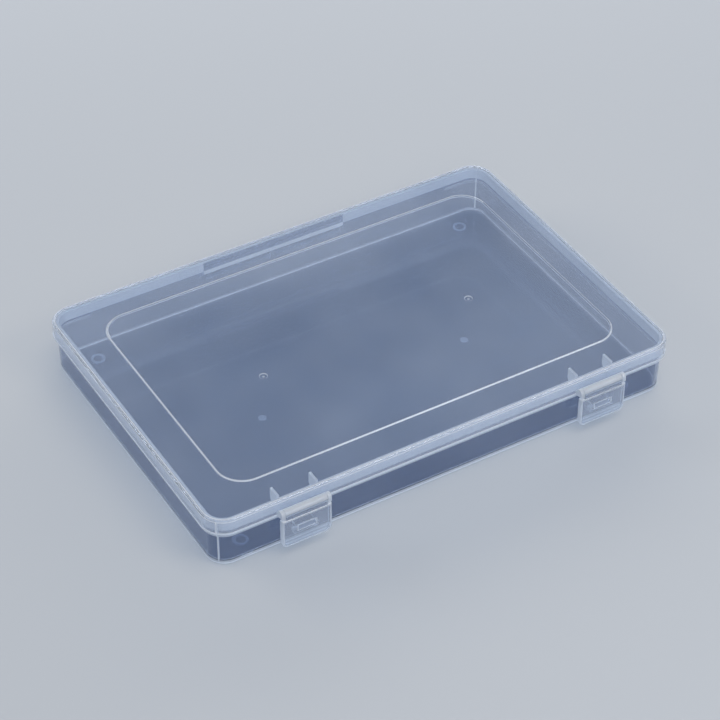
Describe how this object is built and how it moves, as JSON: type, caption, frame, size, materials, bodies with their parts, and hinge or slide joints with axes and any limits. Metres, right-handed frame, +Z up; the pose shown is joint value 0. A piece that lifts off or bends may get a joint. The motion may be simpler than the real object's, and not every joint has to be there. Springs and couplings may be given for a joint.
{
  "type": "hinged storage box",
  "caption": "Flat see-through plastic storage box: an open tray with a hinged lid, closed by flip-up snap latches that hook under catches on the front wall.",
  "frame": {"origin": "on the resting plane under the ring feet, below the middle of the whole box", "axes": "+X along the long side, -Y to the front with the latches, +Z up through the lid"},
  "size_m": [0.2406, 0.1712, 0.0288],
  "materials": {
    "natural_polypropylene": "uncoloured translucent moulding with a smooth satin gloss"
  },
  "bodies": {
    "base": {"base_tray": "natural_polypropylene"},
    "lid": {"lid": "natural_polypropylene"},
    "latch_left": {"latch_left": "natural_polypropylene"},
    "latch_right": {"latch_right": "natural_polypropylene"}
  },
  "joints": [
    {"name": "lid_hinge", "type": "hinge", "parent": "base", "child": "lid", "pos_m": [0, 0.08355, 0.0189], "axis": [-1, 0, 0], "range_deg": [0, 180]},
    {"name": "latch_left_pivot", "type": "hinge", "parent": "lid", "child": "latch_left", "pos_m": [-0.077, -0.08345, 0.0228], "axis": [-1, 0, 0], "range_deg": [0, 180]},
    {"name": "latch_right_pivot", "type": "hinge", "parent": "lid", "child": "latch_right", "pos_m": [0.077, -0.08345, 0.0228], "axis": [-1, 0, 0], "range_deg": [0, 180]}
  ]
}
